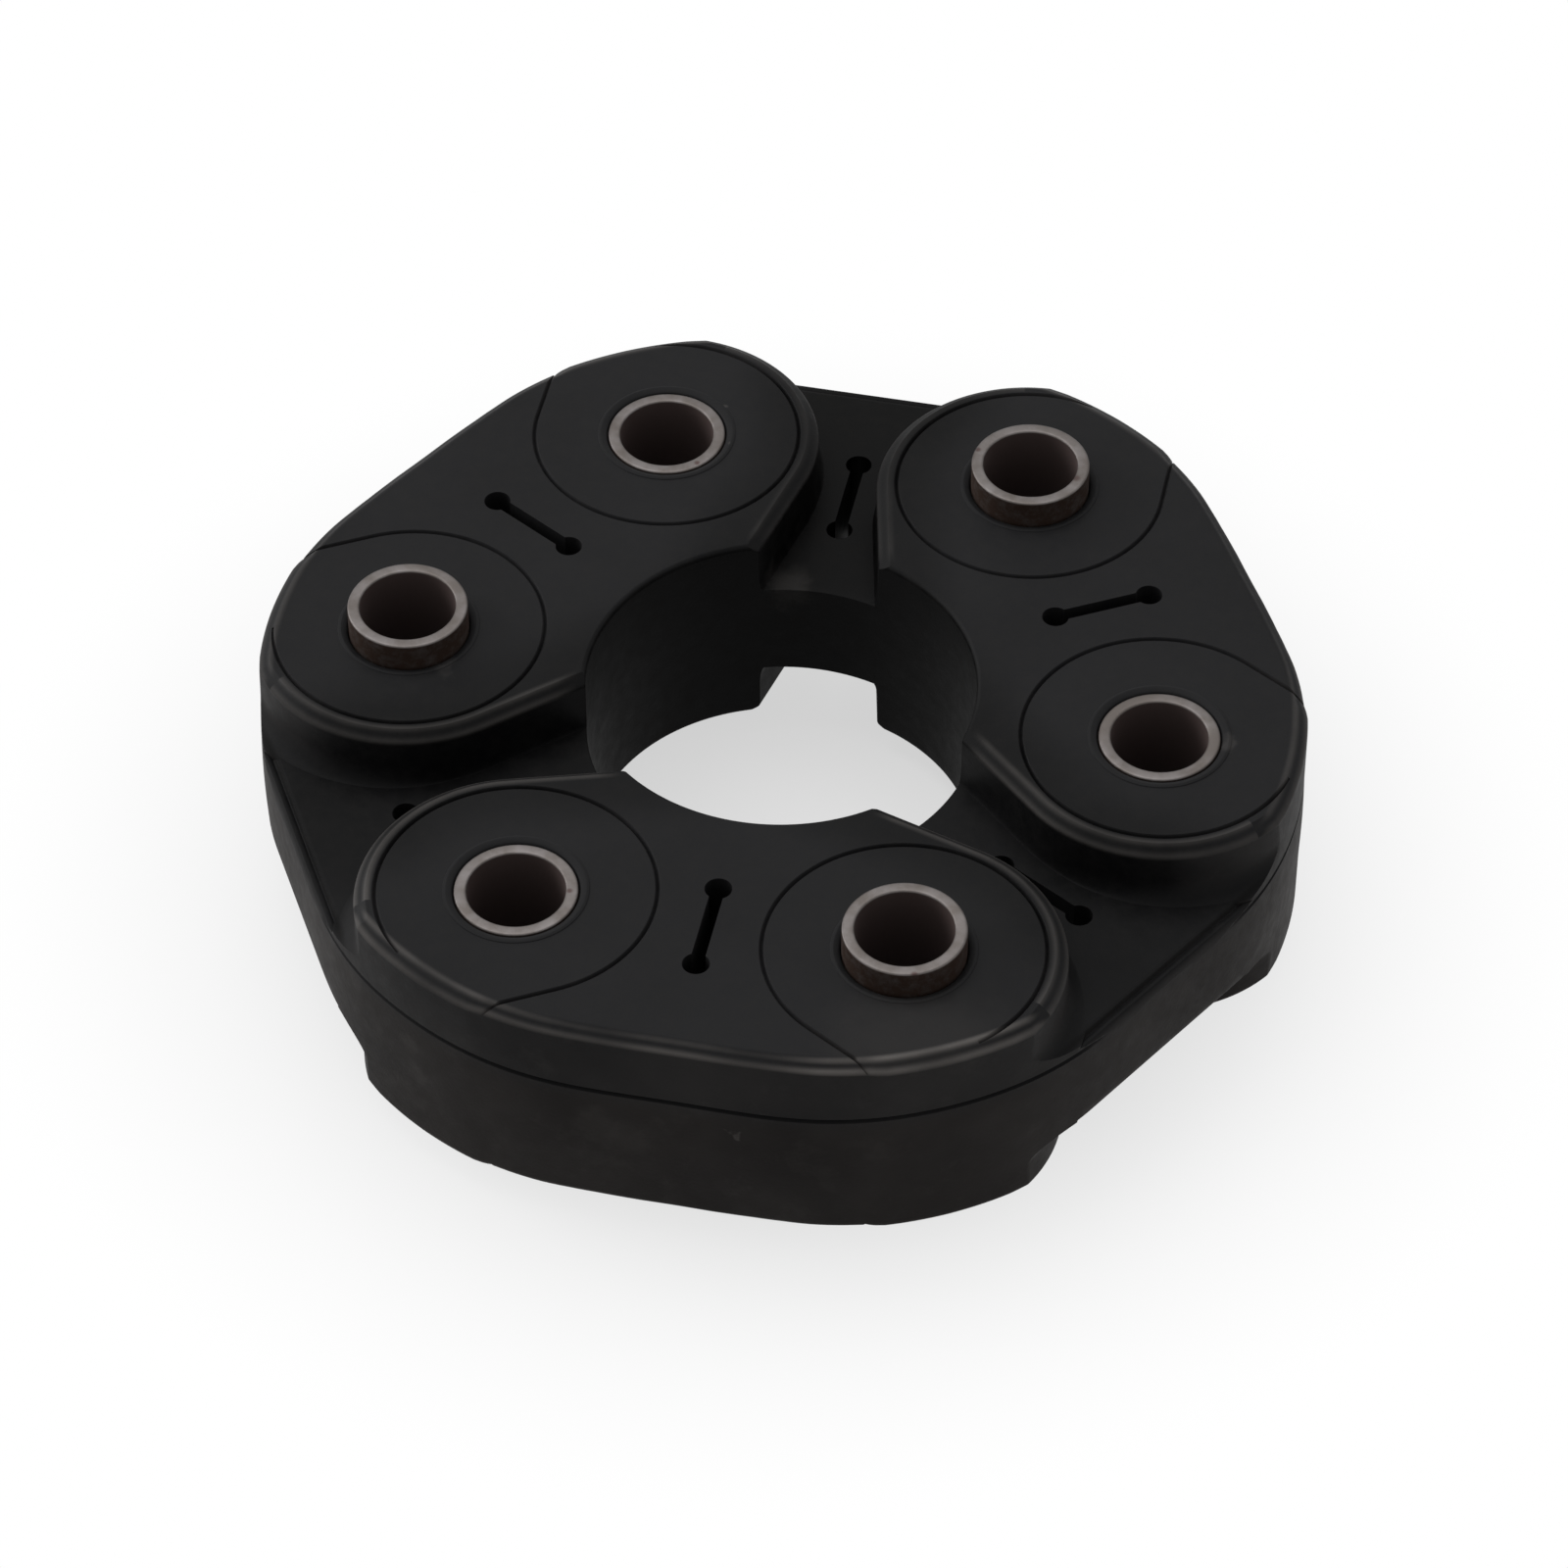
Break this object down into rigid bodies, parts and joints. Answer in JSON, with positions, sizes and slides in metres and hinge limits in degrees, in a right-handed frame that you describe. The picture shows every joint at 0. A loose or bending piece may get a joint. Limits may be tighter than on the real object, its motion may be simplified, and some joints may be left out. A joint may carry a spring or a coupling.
{
  "type": "driveshaft flex disc",
  "caption": "Moulded rubber shaft coupling disc with a centre hole, steel bolt sleeves proud of either face in turn, wound cord loops inside, and thick pads and thin webs between the sleeves.",
  "frame": {"origin": "centre of the disc, on its axis and in its middle plane", "axes": "+Z along the disc's axis, towards the face on which sleeves 2, 4 and 6 stand proud; +X through sleeve 1"},
  "size_m": [0.1324, 0.1274, 0.0374],
  "materials": {
    "black_rubber": "satin moulded rubber, dusty and scuffed on the side",
    "plated_steel": "dull turned steel with light rust",
    "moulded_polymer": "matt",
    "wound_cord": "wound polyester cord"
  },
  "bodies": {
    "root": {"rubber_body": "black_rubber", "bolt_sleeve_1": "plated_steel", "bolt_sleeve_2": "plated_steel", "bolt_sleeve_3": "plated_steel", "bolt_sleeve_4": "plated_steel", "bolt_sleeve_5": "plated_steel", "bolt_sleeve_6": "plated_steel", "collar_bush_1": "moulded_polymer", "collar_bush_2": "moulded_polymer", "collar_bush_3": "moulded_polymer", "collar_bush_4": "moulded_polymer", "collar_bush_5": "moulded_polymer", "collar_bush_6": "moulded_polymer", "pad_cord_loop_upper_1": "wound_cord", "pad_cord_loop_upper_2": "wound_cord", "pad_cord_loop_upper_3": "wound_cord", "pad_cord_loop_lower_1": "wound_cord", "pad_cord_loop_lower_2": "wound_cord", "pad_cord_loop_lower_3": "wound_cord", "web_cord_loop_1": "wound_cord", "web_cord_loop_2": "wound_cord", "web_cord_loop_3": "wound_cord"}
  },
  "joints": []
}
